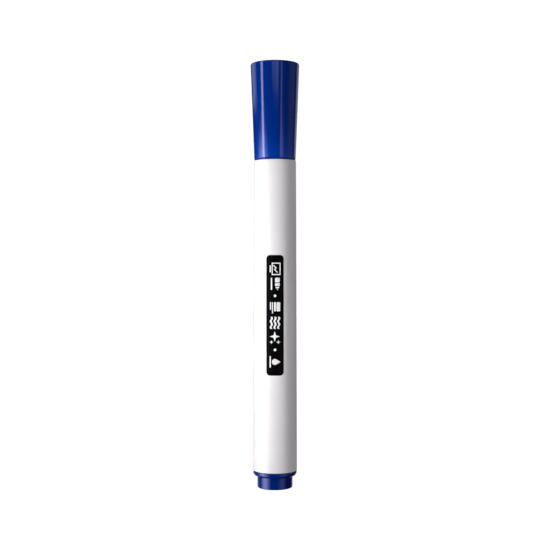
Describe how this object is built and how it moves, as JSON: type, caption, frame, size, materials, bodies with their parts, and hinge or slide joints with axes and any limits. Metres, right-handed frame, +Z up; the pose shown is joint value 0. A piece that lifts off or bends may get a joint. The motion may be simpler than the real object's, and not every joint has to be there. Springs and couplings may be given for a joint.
{
  "type": "whiteboard marker",
  "caption": "Dry-erase marker with a white tube barrel, a flared push-on blue cap, a stepped blue tail plug, and a bullet nib fed by an ink-soaked fibre reservoir.",
  "frame": {"origin": "centre of the tail plug's end face, where the capped marker stands on a desk", "axes": "+Z up along the marker's axis, from the tail to the cap; the printed label faces -Y; +X to the right of the label"},
  "size_m": [0.0156, 0.0156, 0.135],
  "materials": {
    "ink_blue_plastic": "glossy moulded polypropylene in the ink's blue",
    "barrel_white": "semi-gloss moulded white polypropylene",
    "label_black": "black printed ink film",
    "label_print": "white printed ink of the label's pictograms",
    "nib_felt": "bonded fibre, soaked in blue ink",
    "reservoir_fibre": "soft polyester fibre, soaked in blue ink",
    "reservoir_film": "clear film",
    "liner_natural": "milky natural polyethylene"
  },
  "bodies": {
    "barrel": {"barrel": "barrel_white", "label_panel": "label_black", "nose_section": "ink_blue_plastic", "nib": "nib_felt", "reservoir_core": "reservoir_fibre", "reservoir_wrap": "reservoir_film"},
    "cap": {"cap_shell": "ink_blue_plastic", "cap_liner": "liner_natural"},
    "tail_plug": {"tail_plug": "ink_blue_plastic"}
  },
  "joints": [
    {"name": "cap_pull", "type": "slide", "parent": "barrel", "child": "cap", "axis": [0, 0, 1], "range_m": [0, 0.04]},
    {"name": "tail_plug_pull", "type": "slide", "parent": "barrel", "child": "tail_plug", "axis": [0, 0, -1], "range_m": [0, 0.018]}
  ]
}
